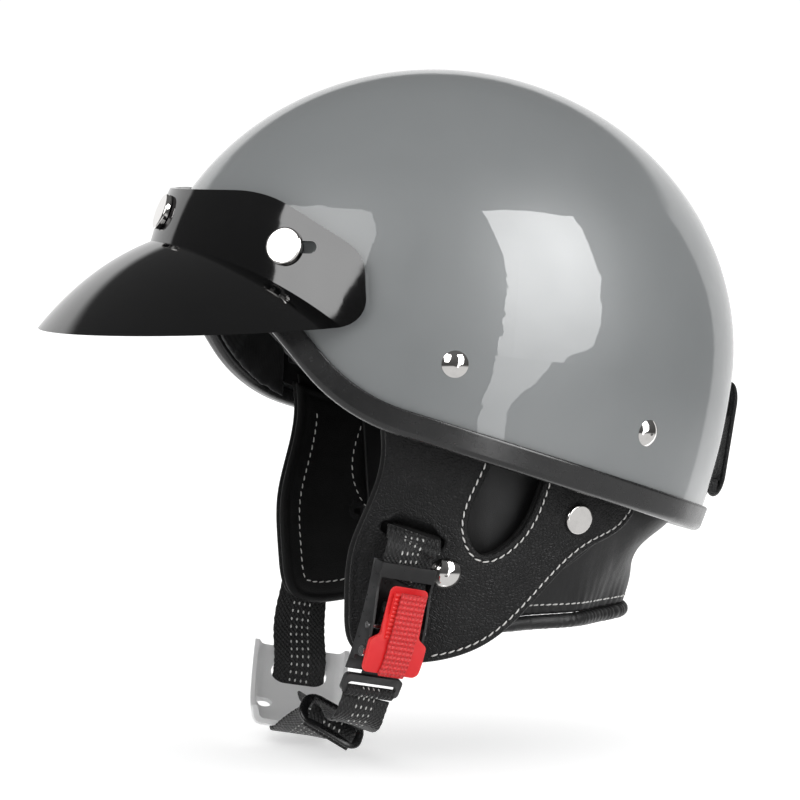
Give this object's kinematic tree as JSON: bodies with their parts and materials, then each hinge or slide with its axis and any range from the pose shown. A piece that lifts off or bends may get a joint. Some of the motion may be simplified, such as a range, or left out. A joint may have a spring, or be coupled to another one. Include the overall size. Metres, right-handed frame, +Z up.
{
  "type": "half shell motorcycle helmet",
  "caption": "Half shell motorcycle helmet with a visor held by snaps, leather ear flaps, neck curtain, chin cup and ratchet buckle.",
  "frame": {"origin": "reference point of the head cavity, on the middle plane at brow level", "axes": "+X to the wearer's left, +Y to the rear, so the visor points along -Y, and +Z up"},
  "size_m": [0.2232, 0.3344, 0.3136],
  "materials": {
    "shell_paint": "gloss grey paint",
    "trim_rubber": "satin black",
    "liner_foam": "matt foam",
    "quilted_lining": "quilted",
    "visor_plastic": "gloss black",
    "bright_steel": "bright",
    "rivet_chrome": "polished",
    "webbing": "woven",
    "flap_leather": "pebbled",
    "flap_lining": "brushed",
    "curtain_fabric": "smooth",
    "buckle_steel": "satin black",
    "lever_red": "satin red",
    "tongue_plastic": "satin black",
    "glide_plastic": "gloss black",
    "cup_plastic": "translucent white"
  },
  "bodies": {
    "helmet": {"brow_pad": "quilted_lining", "buckle_frame": "buckle_steel", "chin_strap_left": "webbing", "chin_strap_right_stub": "webbing", "crown_pad": "quilted_lining", "ear_flap_left": "flap_leather", "ear_flap_left_lining": "flap_lining", "ear_flap_right": "flap_leather", "ear_flap_right_lining": "flap_lining", "edge_trim": "trim_rubber", "eps_liner": "liner_foam", "flap_snap_backs": "bright_steel", "flap_snap_caps": "rivet_chrome", "goggle_tab_patch": "flap_leather", "goggle_tab_stud": "bright_steel", "lever_pin": "bright_steel", "lever_spring": "bright_steel", "nape_pad": "quilted_lining", "neck_curtain": "curtain_fabric", "neck_curtain_hem": "curtain_fabric", "outer_shell": "shell_paint", "pawl_pin": "bright_steel", "rivet_washers": "bright_steel", "side_pad_left": "quilted_lining", "side_pad_right": "quilted_lining", "strap_anchor_left": "webbing", "strap_anchor_right": "webbing", "strap_rivets": "rivet_chrome", "visor_peak": "visor_plastic", "visor_snap_caps": "rivet_chrome", "visor_snap_sockets": "bright_steel", "visor_snap_studs": "bright_steel"},
    "release_lever": {"release_lever": "lever_red"},
    "pawl": {"buckle_pawl": "buckle_steel"},
    "chin_strap": {"buckle_tongue": "tongue_plastic", "chin_strap_lower": "webbing", "tri_glide": "glide_plastic", "chin_strap_right": "webbing", "chin_cup": "cup_plastic"},
    "goggle_tab": {"goggle_tab": "flap_leather", "goggle_tab_cap": "rivet_chrome"}
  },
  "joints": [
    {"name": "release_lever", "type": "hinge", "parent": "helmet", "child": "release_lever", "pos_m": [0.08853, -0.04962, -0.13234], "axis": [-0.272, 0.9421, -0.196], "range_deg": [0, 50], "stiffness_Nm_per_rad": 0.05, "springref_deg": -8.59},
    {"name": "pawl_lift", "type": "hinge", "parent": "helmet", "child": "pawl", "pos_m": [0.08901, -0.04713, -0.121], "axis": [-0.272, 0.9421, -0.196], "range_deg": [-12.5, 0]},
    {"name": "chin_strap_swing", "type": "hinge", "parent": "helmet", "child": "chin_strap", "pos_m": [-0.0776, -0.041, -0.1], "axis": [-0.272, 0.9421, -0.196], "range_deg": [0, 115]},
    {"name": "goggle_tab_lift", "type": "hinge", "parent": "helmet", "child": "goggle_tab", "pos_m": [0, 0.13426, -0.07465], "axis": [-1, 0, 0], "range_deg": [0, 100]}
  ],
  "couplings": [
    {"joint": "pawl_lift", "follows": "release_lever", "ratio": -0.25}
  ]
}
